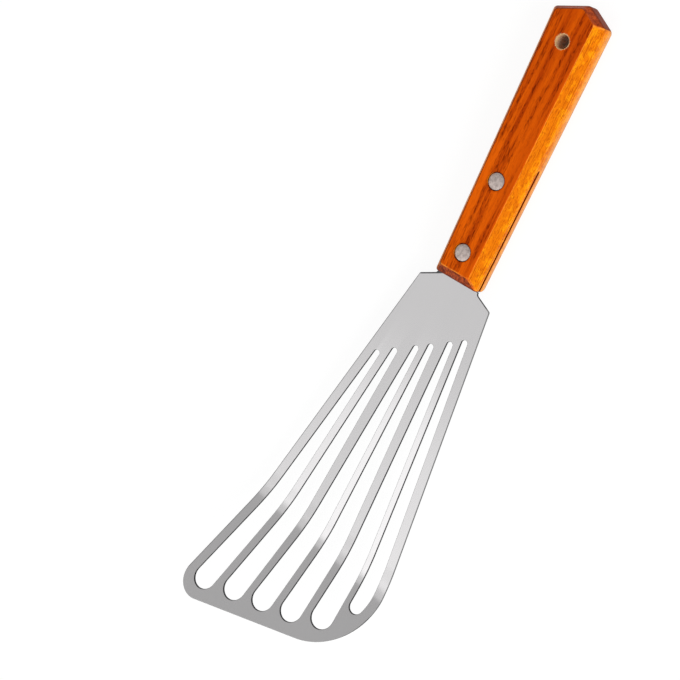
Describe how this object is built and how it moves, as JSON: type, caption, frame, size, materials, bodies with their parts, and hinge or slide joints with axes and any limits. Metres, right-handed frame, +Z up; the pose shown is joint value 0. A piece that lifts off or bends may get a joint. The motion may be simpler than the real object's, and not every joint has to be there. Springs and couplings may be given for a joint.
{
  "type": "slotted turner",
  "caption": "Slotted kitchen turner: a flared, upturned sheet-steel blade with a slanted front edge, riveted into a bevelled wooden handle with a hang hole.",
  "frame": {"origin": "middle of the bounding box in plan, level with the handle's underside", "axes": "+X forward from the handle to the blade's tip, +Y to the holder's left, +Z up, towards the side that the tip bends to"},
  "size_m": [0.3096, 0.0872, 0.0273],
  "materials": {
    "blade": "satin",
    "handle": "oiled, semi-gloss",
    "rivets": "satin, ground flush"
  },
  "bodies": {
    "root": {"blade": "blade", "handle": "handle", "rivet_front_tube": "rivets", "rivet_front_pin": "rivets", "rivet_rear_tube": "rivets", "rivet_rear_pin": "rivets"}
  },
  "joints": []
}
